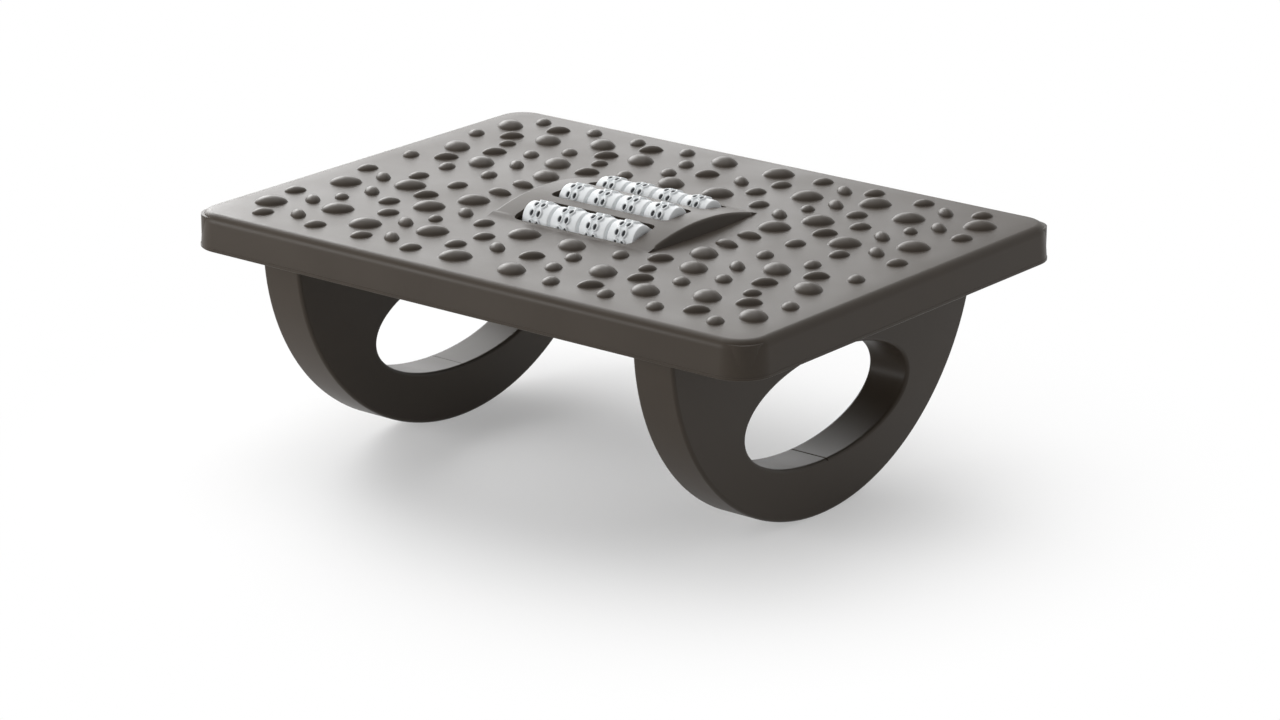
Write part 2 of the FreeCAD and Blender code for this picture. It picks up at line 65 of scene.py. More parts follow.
# Deck moulding: one shell of warm grey-brown polypropylene, with a rounded rim, a lip round
# the foot of its skirt and a low hump in the middle. It is injection moulded, so its sides
# lean in a little towards the top and its faces have a fine matte grain
ROUGHNESS_SPREAD = 0.16


def moulded_grain():
    """Cloudy colour and fine grain of a moulded face: a colour factor, a roughness and a height."""
    group = bpy.data.node_groups.new("moulded_grain", "ShaderNodeTree")
    sockets = group.interface
    sockets.new_socket("Grain per metre", in_out="INPUT", socket_type="NodeSocketFloat")
    sockets.new_socket("Clouds per metre", in_out="INPUT", socket_type="NodeSocketFloat")
    sockets.new_socket("Base roughness", in_out="INPUT", socket_type="NodeSocketFloat")
    sockets.new_socket("Cloud", in_out="OUTPUT", socket_type="NodeSocketFloat")
    sockets.new_socket("Roughness", in_out="OUTPUT", socket_type="NodeSocketFloat")
    sockets.new_socket("Height", in_out="OUTPUT", socket_type="NodeSocketFloat")
    nodes = group.nodes
    links = group.links
    given = nodes.new("NodeGroupInput")
    made = nodes.new("NodeGroupOutput")
    place = nodes.new("ShaderNodeTexCoord")
    grain = nodes.new("ShaderNodeTexNoise")
    grain.inputs["Detail"].default_value = 3
    clouds = nodes.new("ShaderNodeTexNoise")
    clouds.inputs["Detail"].default_value = 4
    links.new(place.outputs["Object"], grain.inputs["Vector"])
    links.new(place.outputs["Object"], clouds.inputs["Vector"])
    links.new(given.outputs["Grain per metre"], grain.inputs["Scale"])
    links.new(given.outputs["Clouds per metre"], clouds.inputs["Scale"])
    unevenness = nodes.new("ShaderNodeMath")
    unevenness.operation = "MULTIPLY_ADD"
    unevenness.inputs[1].default_value = ROUGHNESS_SPREAD
    links.new(clouds.outputs["Fac"], unevenness.inputs[0])
    links.new(given.outputs["Base roughness"], unevenness.inputs[2])
    links.new(clouds.outputs["Fac"], made.inputs["Cloud"])
    links.new(unevenness.outputs[0], made.inputs["Roughness"])
    links.new(grain.outputs["Fac"], made.inputs["Height"])
    return group


GRAIN = moulded_grain()


def new_material(name):
    """A material, with the nodes and links of its tree."""
    material = bpy.data.materials.new(name)
    material.use_nodes = True
    return material, material.node_tree.nodes, material.node_tree.links


def colour_between(nodes, links, share, dark, light):
    """A socket with a colour between two, by the share that another socket gives."""
    colours = nodes.new("ShaderNodeMix")
    colours.data_type = "RGBA"
    colours.inputs["A"].default_value = (*dark, 1)
    colours.inputs["B"].default_value = (*light, 1)
    links.new(share, colours.inputs["Factor"])
    return colours.outputs["Result"]


def plastic(name, dark, light, roughness, grain_depth):
    """A moulded plastic that clouds between two colours, with a fine grain."""
    material, nodes, links = new_material(name)
    shader = nodes["Principled BSDF"]
    surface = nodes.new("ShaderNodeGroup")
    surface.node_tree = GRAIN
    surface.inputs["Grain per metre"].default_value = 1400
    surface.inputs["Clouds per metre"].default_value = 18
    surface.inputs["Base roughness"].default_value = roughness - ROUGHNESS_SPREAD / 2
    colour = colour_between(nodes, links, surface.outputs["Cloud"], dark, light)
    links.new(colour, shader.inputs["Base Color"])
    links.new(surface.outputs["Roughness"], shader.inputs["Roughness"])
    shader.inputs["Specular IOR Level"].default_value = 0.15
    bump = nodes.new("ShaderNodeBump")
    bump.inputs["Strength"].default_value = 0.6
    bump.inputs["Distance"].default_value = grain_depth
    links.new(surface.outputs["Height"], bump.inputs["Height"])
    links.new(bump.outputs["Normal"], shader.inputs["Normal"])
    return material


WARM_DARK = (0.042, 0.033, 0.025)
WARM_LIGHT = (0.054, 0.043, 0.033)
DECK_PLASTIC = plastic("deck_plastic", WARM_DARK, WARM_LIGHT, 0.38, 0.00003)


def placed(name, mesh, material):
    """An object of the bmesh, linked to the scene with its material."""
    data = bpy.data.meshes.new(name)
    mesh.to_mesh(data)
    mesh.free()
    piece = bpy.data.objects.new(name, data)
    bpy.context.scene.collection.objects.link(piece)
    data.materials.append(material)
    return piece


def finished(name, mesh, body, material, sharp_deg=38):
    """An object of the bmesh with its sharp edges marked, riding on a CAD body."""
    bmesh.ops.recalc_face_normals(mesh, faces=mesh.faces)
    for face in mesh.faces:
        face.smooth = True
    for edge in mesh.edges:
        if edge.is_manifold and edge.calc_face_angle() > math.radians(sharp_deg):
            edge.smooth = False
    piece = placed(name, mesh, material)
    weighted = piece.modifiers.new("weighted", "WEIGHTED_NORMAL")
    weighted.keep_sharp = True
    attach(piece, body)
    return piece


deck_low, deck_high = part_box("deck")
HALF_LENGTH = deck_high.x
HALF_DEPTH = deck_high.y
SKIRT_BOTTOM = deck_low.z
DECK_TOP = 164.5 * MM
CORNER_RADIUS = 17 * MM
PLATE_CORNER = 3 * MM
BORDER_WIDTH = 12 * MM
BORDER_DROP = 0.5 * MM
RIM_RADIUS = 6 * MM
RIM_STEPS = 8
SKIRT_LEAN = 1.2 * MM
LIP_HEIGHT = 2.2 * MM
LIP_STEP = 0.35 * MM
SKIRT_WALL = 3 * MM
HUMP_HALF_LENGTH = 65 * MM
HUMP_HALF_DEPTH = 57 * MM
HUMP_RISE = 8.5 * MM
HUMP_END_LEAN = 2.6 * MM
HUMP_EDGE_SOFTNESS = 1.8 * MM
HUMP_LINES = 38
HUMP_RADIUS = (HUMP_HALF_DEPTH**2 + HUMP_RISE**2) / (2 * HUMP_RISE)
ROW_PITCH = 37.5 * MM
WINDOW_FRONT_REACH = 16 * MM
WINDOW_BACK_REACH = 13 * MM
WINDOW_HALF_LENGTH = 47.8 * MM
WINDOW_CORNER = 5 * MM
WINDOW_CORNER_STEPS = 3
TOUCH = 0.01 * MM
ALONG_X = Vector((1, 0, 0))
ALONG_Y = Vector((0, 1, 0))

ROW_LINES = [row * ROW_PITCH for row in (-1, 0, 1)]
WINDOW_SPANS = [(line - WINDOW_FRONT_REACH, line + WINDOW_BACK_REACH) for line in ROW_LINES]
CHORD_HALF_TURN = math.pi / 4 / WINDOW_CORNER_STEPS
CHORD_REACH = WINDOW_CORNER * math.cos(CHORD_HALF_TURN)
CHORD_TURNS = [turn * CHORD_HALF_TURN for turn in range(1, 2 * WINDOW_CORNER_STEPS, 2)]
CHORDS = [Vector((math.cos(turn), math.sin(turn))) for turn in CHORD_TURNS]


def hump_height(y):
    """Height of the hump's crown above the plate."""
    if abs(y) >= HUMP_HALF_DEPTH:
        return 0
    return math.sqrt(HUMP_RADIUS**2 - y**2) - (HUMP_RADIUS - HUMP_RISE)


def rounded_plate(half_length, half_depth, radius, z):
    """A flat face with round corners."""
    mesh = bmesh.new()
    bmesh.ops.create_grid(mesh, x_segments=1, y_segments=1, size=1)
    bmesh.ops.scale(mesh, vec=(half_length, half_depth, 1), verts=mesh.verts)
    bmesh.ops.bevel(
        mesh, geom=mesh.verts[:], offset=radius, offset_type="OFFSET", segments=10, profile=0.5,
        affect="VERTICES", material=-1,
    )
    bmesh.ops.translate(mesh, vec=(0, 0, z), verts=mesh.verts)
    return mesh


def cut_faces(mesh, faces, place, normal):
    """A line of edges through the faces, where the plane at the place crosses them."""
    parts = [part for face in faces for part in (face, *face.edges, *face.verts)]
    geometry = list(dict.fromkeys(parts))
    bmesh.ops.bisect_plane(mesh, geom=geometry, dist=TOUCH, plane_co=place, plane_no=normal)


def next_ring(mesh, edges):
    """New verts and edges drawn out from a ring of edges, in the same place."""
    made = bmesh.ops.extrude_edge_only(mesh, edges=edges)["geom"]
    verts = [item for item in made if isinstance(item, bmesh.types.BMVert)]
    edges = [item for item in made if isinstance(item, bmesh.types.BMEdge)]
    return verts, [edge for edge in edges if len(edge.link_faces) == 1]


def source_vert(vert, ring):
    """The vert of an earlier ring that a vert was drawn out from."""
    return [edge.other_vert(vert) for edge in vert.link_edges if edge.other_vert(vert) in ring][0]


def drawn_out(mesh, edges, directions, step, drop):
    """The next ring of a wall: it goes out by a step along each corner's direction, and down."""
    new_verts, new_edges = next_ring(mesh, edges)
    after = {}
    for vert in new_verts:
        after[vert] = directions[source_vert(vert, directions)]
        vert.co += after[vert] * step - Vector((0, 0, drop))
    return new_edges, after


inset = BORDER_WIDTH + RIM_RADIUS + SKIRT_LEAN + LIP_STEP
deck = rounded_plate(HALF_LENGTH - inset, HALF_DEPTH - inset, PLATE_CORNER, DECK_TOP)
for sign in (-1, 1):
    for x in (
        HUMP_HALF_LENGTH + HUMP_END_LEAN,
        HUMP_HALF_LENGTH,
        WINDOW_HALF_LENGTH,
        WINDOW_HALF_LENGTH - WINDOW_CORNER,
    ):
        cut_faces(deck, deck.faces, sign * x * ALONG_X, ALONG_X)
for line in range(HUMP_LINES + 1):
    cut_faces(deck, deck.faces, HUMP_HALF_DEPTH * (2 * line / HUMP_LINES - 1) * ALONG_Y, ALONG_Y)
for front, back in WINDOW_SPANS:
    for y in (front, front + WINDOW_CORNER, back - WINDOW_CORNER, back):
        cut_faces(deck, deck.faces, y * ALONG_Y, ALONG_Y)


def beyond_corner_centre(point, span):
    """How far a point lies past the centre of the nearest corner arc of a window, in x and y."""
    front, back = span
    over_y = max(point.y - back, front - point.y) + WINDOW_CORNER
    return Vector((abs(point.x) - WINDOW_HALF_LENGTH + WINDOW_CORNER, over_y))


def in_window(face):
    """True for the faces that the windows take away."""
    centre = face.calc_center_median()
    for span in WINDOW_SPANS:
        beyond = beyond_corner_centre(centre, span)
        inside_arc = min(beyond) < 0 or all(beyond.dot(chord) < CHORD_REACH for chord in CHORDS)
        if max(beyond) < WINDOW_CORNER and inside_arc:
            return True
    return False


def round_corner(mesh, span, x_sign, y_sign):
    """Edges along the chords of one corner arc of a window."""
    corner_y = span[1] - WINDOW_CORNER if y_sign > 0 else span[0] + WINDOW_CORNER
    corner = Vector((x_sign * (WINDOW_HALF_LENGTH - WINDOW_CORNER), corner_y, DECK_TOP))
    for chord in CHORDS:
        outward = Vector((x_sign * chord.x, y_sign * chord.y, 0))
        square = []
        for face in mesh.faces:
            offset = face.calc_center_median() - corner
            beyond = (offset.x * x_sign, offset.y * y_sign)
            if min(beyond) > 0 and max(beyond) < WINDOW_CORNER:
                square.append(face)
        cut_faces(mesh, square, corner + outward * CHORD_REACH, outward)


for span in WINDOW_SPANS:
    for x_sign in (-1, 1):
        for y_sign in (-1, 1):
            round_corner(deck, span, x_sign, y_sign)

bmesh.ops.delete(deck, geom=[face for face in deck.faces if in_window(face)], context="FACES_ONLY")
loose_edges = [edge for edge in deck.edges if not edge.link_faces]
bmesh.ops.delete(deck, geom=loose_edges, context="EDGES")
loose_verts = [vert for vert in deck.verts if not vert.link_edges]
bmesh.ops.delete(deck, geom=loose_verts, context="VERTS")
corner_x = HALF_LENGTH - inset - PLATE_CORNER
corner_y = HALF_DEPTH - inset - PLATE_CORNER
rim_edges = []
directions = {}
for edge in deck.edges:
    middle = (edge.verts[0].co + edge.verts[1].co) / 2
    if edge.is_boundary and (abs(middle.x) > corner_x - TOUCH or abs(middle.y) > corner_y - TOUCH):
        rim_edges.append(edge)
        for vert in edge.verts:
            beyond_x = max(abs(vert.co.x) - corner_x, 0) * math.copysign(1, vert.co.x)
            beyond_y = max(abs(vert.co.y) - corner_y, 0) * math.copysign(1, vert.co.y)
            directions[vert] = Vector((beyond_x, beyond_y, 0)).normalized()

foot_x = HUMP_HALF_LENGTH + HUMP_END_LEAN
for vert in deck.verts:
    height = hump_height(vert.co.y)
    if abs(vert.co.x) < HUMP_HALF_LENGTH + TOUCH:
        vert.co.z += height
    elif abs(abs(vert.co.x) - foot_x) < TOUCH and abs(vert.co.y) < HUMP_HALF_DEPTH + TOUCH:
        lean = HUMP_END_LEAN * height / HUMP_RISE
        vert.co.x = math.copysign(HUMP_HALF_LENGTH + lean, vert.co.x)

wall, out = rim_edges, directions
wall, out = drawn_out(deck, wall, out, BORDER_WIDTH, BORDER_DROP)
for step in range(RIM_STEPS):
    near = math.pi / 2 * step / RIM_STEPS
    far = math.pi / 2 * (step + 1) / RIM_STEPS
    sideways = RIM_RADIUS * (math.sin(far) - math.sin(near))
    down = RIM_RADIUS * (math.cos(near) - math.cos(far))
    wall, out = drawn_out(deck, wall, out, sideways, down)
skirt_height = DECK_TOP - BORDER_DROP - RIM_RADIUS - SKIRT_BOTTOM - LIP_HEIGHT
wall, out = drawn_out(deck, wall, out, SKIRT_LEAN, skirt_height)
wall, out = drawn_out(deck, wall, out, LIP_STEP, LIP_STEP)
wall, out = drawn_out(deck, wall, out, 0, LIP_HEIGHT - 2 * LIP_STEP)
wall, out = drawn_out(deck, wall, out, -LIP_STEP, LIP_STEP)
wall, out = drawn_out(deck, wall, out, 2 * LIP_STEP - SKIRT_WALL, 0)
wall, out = drawn_out(deck, wall, out, -LIP_STEP, -LIP_STEP)
bmesh.ops.remove_doubles(deck, verts=deck.verts, dist=TOUCH)


def on_ridge(edge):
    """True along the upper edges of the hump's end walls."""
    at_end = all(abs(abs(vert.co.x) - HUMP_HALF_LENGTH) < TOUCH for vert in edge.verts)
    return at_end and min(vert.co.z for vert in edge.verts) > DECK_TOP + HUMP_RISE / 4


ridge = [edge for edge in deck.edges if on_ridge(edge)]
bmesh.ops.bevel(
    deck, geom=ridge, offset=HUMP_EDGE_SOFTNESS, offset_type="OFFSET", segments=3, profile=0.5,
    affect="EDGES", material=-1,
)
deck_shell = finished("deck_shell", deck, "frame", DECK_PLASTIC)
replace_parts(deck_shell, "deck")


# Underside of the deck: the inner side of the same moulding, with ribs, screw bosses and the
# slotted webs that carry the roller axles. It is a cleaned copy of the inner faces
WALL_SLACK = 0.1 * MM
SURFACE_SLACK = 0.5 * MM
LEAST_UPWARD = 0.3


def beyond_inner_wall(point):
    """How far a point lies outside the inner face of the skirt."""
    radius = CORNER_RADIUS - SKIRT_WALL
    over_x = abs(point.x) - (HALF_LENGTH - CORNER_RADIUS)
    over_y = abs(point.y) - (HALF_DEPTH - CORNER_RADIUS)
    return math.hypot(max(over_x, 0), max(over_y, 0)) + min(max(over_x, over_y), 0) - radius


def on_outside(face):
    """True for the faces of the deck that the shell and the pebbles stand for."""
    centre = face.calc_center_median()
    if beyond_inner_wall(centre) > WALL_SLACK:
        return True
    over_hump = abs(centre.x) < HUMP_HALF_LENGTH and abs(centre.y) < HUMP_HALF_DEPTH
    surface = DECK_TOP + (hump_height(centre.y) if over_hump else 0)
    if face.normal.z > LEAST_UPWARD and centre.z > surface - SURFACE_SLACK:
        return True
    past_hump = abs(centre.x) > HUMP_HALF_LENGTH - TOUCH or abs(centre.y) > HUMP_HALF_DEPTH
    return past_hump and centre.z > DECK_TOP + TOUCH


def cad_copy(node, is_left_out):
    """A cleaned copy of a CAD node's mesh, without the faces that the test picks."""
    copy = bmesh.new()
    copy.from_mesh(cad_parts[node].data)
    bmesh.ops.remove_doubles(copy, verts=copy.verts, dist=TOUCH)
    left_out = [face for face in copy.faces if is_left_out(face)]
    bmesh.ops.delete(copy, geom=left_out, context="FACES")
    return copy


underside = cad_copy("deck", on_outside)
for face in underside.faces:
    face.smooth = False
deck_underside = placed("deck_underside", underside, DECK_PLASTIC)
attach(deck_underside, "frame")


# Pebbles: low oval domes all over the deck, moulded in one with it, each with a soft foot.
# Places are shares of the deck's half length and half depth in one quarter, then the kind
# and the turn of its long axis in degrees; the pattern has two mirror lines
PEBBLE_SHARES = (
    (0.88, 0.13, "small", 65),
    (0.71, 0.085, "small", 70),
    (0.555, 0.095, "small", 70),
    (0.41, 0.07, "long", 5),
    (0.78, 0.19, "long", -45),
    (0.66, 0.215, "large", 45),
    (0.56, 0.275, "long", 50),
    (0.415, 0.22, "large", 40),
    (0.83, 0.335, "large", 40),
    (0.705, 0.37, "long", -45),
    (0.6, 0.43, "small", 55),
    (0.475, 0.39, "large", 45),
    (0.35, 0.37, "long", -45),
    (0.38, 0.5, "tiny", -60),
    (0.735, 0.5, "tiny", -50),
    (0.525, 0.55, "small", 55),
    (0.885, 0.545, "small", 60),
    (0.78, 0.6, "long", -45),
    (0.66, 0.635, "large", 45),
    (0.42, 0.61, "long", -45),
    (0.305, 0.635, "large", 45),
    (0.86, 0.72, "large", 45),
    (0.71, 0.785, "long", -45),
    (0.5, 0.72, "large", 45),
    (0.355, 0.79, "long", -45),
    (0.805, 0.845, "small", 60),
    (0.605, 0.845, "small", 55),
    (0.435, 0.84, "small", 60),
    (0.25, 0.845, "small", 60),
    (0.1, 0.825, "large", 40),
    (0.175, 0.705, "small", 60),
    (0.062, 0.645, "long", -45),
    (0.16, 0.565, "small", 60),
    (0.245, 0.43, "small", 65),
    (0.085, 0.45, "large", 40),
)
PEBBLE_SIZES_MM = {
    "large": (21.2, 17.6, 4.2),
    "long": (16.8, 9.8, 3.5),
    "small": (14.6, 11.0, 3.0),
    "tiny": (12.0, 9.4, 2.8),
}
PEBBLE_PROFILE_SHARES = (
    (1.05, -0.02),
    (1.0, 0.05),
    (0.97, 0.17),
    (0.9, 0.35),
    (0.78, 0.55),
    (0.6, 0.75),
    (0.4, 0.89),
    (0.2, 0.97),
)
PEBBLE_SEGMENTS = 24


def ring_edges(verts):
    """The edges that join the verts of a ring, each once and in their order."""
    edges = [edge for vert in verts for edge in vert.link_edges if edge.other_vert(vert) in verts]
    return list(dict.fromkeys(edges))


def add_pebble(mesh, place, kind, turn_deg):
    """Rings of an oval dome, the lowest a hair under the plate, closed at the top."""
    length, width, rise = (size * MM for size in PEBBLE_SIZES_MM[kind])
    foot_share, foot_height_share = PEBBLE_PROFILE_SHARES[0]
    ring = bmesh.ops.create_circle(mesh, segments=PEBBLE_SEGMENTS, radius=foot_share)["verts"]
    bmesh.ops.translate(mesh, vec=(0, 0, foot_height_share), verts=ring)
    whole = list(ring)
    edges = ring_edges(ring)
    for share, height_share in PEBBLE_PROFILE_SHARES[1:]:
        ring, edges = next_ring(mesh, edges)
        narrowing = share / ring[0].co.xy.length
        bmesh.ops.scale(mesh, vec=(narrowing, narrowing, 1), verts=ring)
        bmesh.ops.translate(mesh, vec=(0, 0, height_share - ring[0].co.z), verts=ring)
        whole += ring
    crown = bmesh.ops.create_vert(mesh, co=(0, 0, 1))["vert"][0]
    for edge in edges:
        mesh.faces.new((*edge.verts, crown))
    whole.append(crown)
    oval = Matrix.Diagonal((length / 2, width / 2, rise, 1))
    turned = Matrix.Translation(place) @ Matrix.Rotation(math.radians(turn_deg), 4, "Z") @ oval
    bmesh.ops.transform(mesh, matrix=turned, verts=whole)


pebbles = bmesh.new()
for x_share, y_share, kind, turn_deg in PEBBLE_SHARES:
    for x_sign in (-1, 1):
        for y_sign in (-1, 1):
            x = x_sign * x_share * HALF_LENGTH
            y = y_sign * y_share * HALF_DEPTH
            add_pebble(pebbles, Vector((x, y, DECK_TOP)), kind, turn_deg * x_sign * y_sign)
deck_pebbles = finished("deck_pebbles", pebbles, "frame", DECK_PLASTIC, sharp_deg=80)


# Rockers: two half ovals of the same plastic, each with an oval hole that serves as a grip.
# Their rims are rounded over, and a flange along the top is screwed up into the deck
ROCKER_PLASTIC = plastic("rocker_plastic", WARM_DARK, WARM_LIGHT, 0.40, 0.00003)
ROCKER_HALF_DEPTH = 160.5 * MM
ROCKER_HALF_HEIGHT = 150.5 * MM
ROCKER_THICKNESS = 30.5 * MM
HOLE_HALF_DEPTH = 86 * MM
HOLE_HALF_HEIGHT = 35.5 * MM
HOLE_CENTRE = 71.4 * MM
FLANGE_BOTTOM = 147.5 * MM
RIM_SOFTNESS = 2.4 * MM
LEAST_RIM_ANGLE = 1
OVAL_SEGMENTS = 144
SEAM_WIDTHS = {"left": 0.6 * MM, "right": 1.5 * MM}
SEAM_DEPTH = 1 * MM
SEAM_REACH = 6 * MM


def oval_loop(mesh, half_depth, half_height, z):
    """A closed oval of edges in the plane x = 0."""
    verts = bmesh.ops.create_circle(mesh, segments=OVAL_SEGMENTS, radius=1)["verts"]
    upright = Matrix.Translation((0, 0, z)) @ Matrix.Diagonal((1, half_depth, half_height, 1))
    bmesh.ops.transform(mesh, matrix=upright @ Matrix.Rotation(math.pi / 2, 4, "Y"), verts=verts)
    return verts


def on_rocker_rim(edge):
    """True for the sharp edges round the two side faces, below the flange."""
    across = abs(edge.verts[0].co.x - edge.verts[1].co.x) > TOUCH
    low = min(vert.co.z for vert in edge.verts) < FLANGE_BOTTOM - TOUCH
    return low and not across and edge.is_manifold and edge.calc_face_angle() > LEAST_RIM_ANGLE


def cut_seam(mesh, width):
    """A fine groove across the floor of the hole, where the halves of the moulding meet."""
    floor_z = HOLE_CENTRE - HOLE_HALF_HEIGHT
    for y in (-width / 2, width / 2):
        near = []
        for face in mesh.faces:
            centre = face.calc_center_median()
            if abs(centre.y) < SEAM_REACH and abs(centre.z - floor_z) < RIM_SOFTNESS:
                near.append(face)
        cut_faces(mesh, near, y * ALONG_Y, ALONG_Y)
    for vert in mesh.verts:
        if abs(vert.co.y) < TOUCH and abs(vert.co.z - floor_z) < RIM_SOFTNESS / 2:
            vert.co.z -= SEAM_DEPTH


def below_flange(face):
    """True for the faces that the drawn half oval stands for."""
    return face.calc_center_median().z < FLANGE_BOTTOM - TOUCH


def rocker(side):
    """A half oval with its hole and seam, and on top a cleaned copy of the flange."""
    mesh = bmesh.new()
    outline = oval_loop(mesh, ROCKER_HALF_DEPTH, ROCKER_HALF_HEIGHT, ROCKER_HALF_HEIGHT)
    hole = oval_loop(mesh, HOLE_HALF_DEPTH, HOLE_HALF_HEIGHT, HOLE_CENTRE)
    loops = ring_edges(outline) + ring_edges(hole)
    for vert in outline:
        vert.co.z = min(vert.co.z, FLANGE_BOTTOM)
    bmesh.ops.remove_doubles(mesh, verts=outline, dist=TOUCH)
    bmesh.ops.bridge_loops(mesh, edges=loops)
    bmesh.ops.translate(mesh, vec=(-ROCKER_THICKNESS / 2, 0, 0), verts=mesh.verts)
    thick = bmesh.ops.extrude_face_region(mesh, geom=mesh.faces[:], use_keep_orig=True)["geom"]
    far_verts = [item for item in thick if isinstance(item, bmesh.types.BMVert)]
    bmesh.ops.translate(mesh, vec=(ROCKER_THICKNESS, 0, 0), verts=far_verts)
    bmesh.ops.recalc_face_normals(mesh, faces=mesh.faces)
    rims = [edge for edge in mesh.edges if on_rocker_rim(edge)]
    bmesh.ops.bevel(
        mesh, geom=rims, offset=RIM_SOFTNESS, offset_type="OFFSET", segments=4, profile=0.5,
        affect="EDGES", clamp_overlap=True, material=-1,
    )
    cut_seam(mesh, SEAM_WIDTHS[side])
    low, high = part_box(f"{side}_rocker")
    bmesh.ops.translate(mesh, vec=((low.x + high.x) / 2, 0, 0), verts=mesh.verts)
    flange = cad_copy(f"{side}_rocker", below_flange)
    flange_data = bpy.data.meshes.new(f"{side}_flange")
    flange.to_mesh(flange_data)
    flange.free()
    mesh.from_mesh(flange_data)
    return finished(f"{side}_rocker_body", mesh, "frame", ROCKER_PLASTIC)


for side in ("left", "right"):
    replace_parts(rocker(side), f"{side}_rocker")


# Roller units: white moulded barrels that slide onto a six-sided axle, four to a row. Each has
# ten pairs of oval studs round it, and each stud is a ring with a deep pit in its middle. The
# floor and deepest wall of each pit have a painted shade, a dark grey that stands in for the
# shade deep in the pits, and each row rests at an angle of its own
ROLLER_PLASTIC = plastic("roller_plastic", (0.80, 0.82, 0.83), (0.86, 0.88, 0.89), 0.45, 0.00002)
# Painted shade: a dark grey on the floor and deepest wall of each pit, standing in for the shade deep in
# the pits
PAINTED_PIT_SHADE = plastic("painted_pit_shade", (0.16, 0.17, 0.18), (0.20, 0.21, 0.22), 0.7, 0.00002)
UNITS_PER_ROW = 4
UNIT_REPEATS = 10
UNIT_HALF_LENGTH = 11.3 * MM
UNIT_RADIUS = 10.5 * MM
UNIT_LEVEL_HALF_LENGTH = 9.7 * MM
UNIT_CROWN = 0.2 * MM
UNIT_END_RADIUS = 6.4 * MM
UNIT_END_SHARES = ((0.2, 0.04), (0.4, 0.14), (0.6, 0.3), (0.78, 0.5), (0.92, 0.75), (1, 1))
STUD_SPACING = 5.4 * MM
STUD_HALF_LENGTH = 2.4 * MM
STUD_HALF_WIDTH = 3.0 * MM
STUD_RISE = 1.25 * MM
PIT_HALF_LENGTH = 1.2 * MM
PIT_HALF_WIDTH = 1.9 * MM
PIT_DEPTH = 2.6 * MM
STUD_PROFILE = (
    (0.08, STUD_RISE * 0.75),
    (0.3, STUD_RISE),
    (0.75, STUD_RISE),
    (1.0, STUD_RISE * 0.6),
    (1.15, STUD_RISE - PIT_DEPTH),
)
PATCH_SEGMENTS = 16
BORE_CORNER_RADIUS = 2.95 * MM
ROW_TURNS_DEG = {"front": 22, "middle": 20, "back": 8}


def stud_patch(mesh, side, half_width):
    """A flat patch from the middle of the barrel to one side, with a stud that has a pit."""
    square = bmesh.ops.create_circle(mesh, segments=PATCH_SEGMENTS, radius=1)["verts"]
    middle = side * UNIT_LEVEL_HALF_LENGTH / 2
    for vert in square:
        reach = max(abs(vert.co.x), abs(vert.co.y))
        vert.co.x = vert.co.x / reach * UNIT_LEVEL_HALF_LENGTH / 2 + middle
        vert.co.y = vert.co.y / reach * half_width
    ring = bmesh.ops.create_circle(mesh, segments=PATCH_SEGMENTS, radius=1)["verts"]
    round_places = {vert: vert.co.copy() for vert in ring}
    stud_x = side * STUD_SPACING / 2
    for vert in ring:
        vert.co.x = vert.co.x * STUD_HALF_LENGTH + stud_x
        vert.co.y = vert.co.y * STUD_HALF_WIDTH
    edges = ring_edges(ring)
    bmesh.ops.bridge_loops(mesh, edges=ring_edges(square) + edges)
    whole = square + ring
    for pit_share, height in STUD_PROFILE:
        half_length = STUD_HALF_LENGTH + (PIT_HALF_LENGTH - STUD_HALF_LENGTH) * pit_share
        half_stud = STUD_HALF_WIDTH + (PIT_HALF_WIDTH - STUD_HALF_WIDTH) * pit_share
        before = ring
        ring, edges = next_ring(mesh, edges)
        for vert in ring:
            round_places[vert] = round_places[source_vert(vert, before)]
            offset_x = round_places[vert].x * half_length
            offset_y = round_places[vert].y * half_stud
            vert.co = Vector((stud_x + offset_x, offset_y, height))
        whole += ring
    pit_floor = mesh.faces.new(sorted(ring, key=lambda vert: math.atan2(vert.co.y, vert.co.x - stud_x)))
    # The pit's floor and its deepest wall take the painted pit shade, which stands in for the shade down
    # in the pit
    for edge in pit_floor.edges:
        for face in edge.link_faces:
            face.material_index = 1
    return whole


def roller_unit():
    """One barrel about the X axis, with a pair of studs that face up."""
    mesh = bmesh.new()
    half_arc = math.pi / UNIT_REPEATS
    for repeat in range(UNIT_REPEATS):
        for side in (-1, 1):
            for vert in stud_patch(mesh, side, half_arc * UNIT_RADIUS):
                around = vert.co.y / UNIT_RADIUS + 2 * half_arc * repeat
                radius = UNIT_RADIUS + vert.co.z - UNIT_CROWN * (vert.co.x / UNIT_LEVEL_HALF_LENGTH) ** 2
                vert.co = Vector((vert.co.x, -radius * math.sin(around), radius * math.cos(around)))
    bmesh.ops.remove_doubles(mesh, verts=mesh.verts, dist=TOUCH)
    level_radius = UNIT_RADIUS - UNIT_CROWN
    bore_ends = []
    for side in (-1, 1):
        rim = [edge for edge in mesh.edges if edge.is_boundary and edge.verts[0].co.x * side > 0]
        for length_share, radius_share in UNIT_END_SHARES:
            radius = level_radius + (UNIT_END_RADIUS - level_radius) * radius_share
            x = UNIT_LEVEL_HALF_LENGTH + (UNIT_HALF_LENGTH - UNIT_LEVEL_HALF_LENGTH) * length_share
            ring, rim = next_ring(mesh, rim)
            for vert in ring:
                outward = Vector((0, vert.co.y, vert.co.z)).normalized()
                vert.co = outward * radius + Vector((side * x, 0, 0))
        hexagon = bmesh.ops.create_circle(mesh, segments=6, radius=BORE_CORNER_RADIUS)["verts"]
        bmesh.ops.transform(mesh, matrix=Matrix.Rotation(math.pi / 2, 4, "Y"), verts=hexagon)
        bmesh.ops.translate(mesh, vec=(side * UNIT_HALF_LENGTH, 0, 0), verts=hexagon)
        bore_end = ring_edges(hexagon)
        bmesh.ops.bridge_loops(mesh, edges=rim + bore_end)
        bore_ends += bore_end
    bmesh.ops.bridge_loops(mesh, edges=bore_ends)
    return mesh


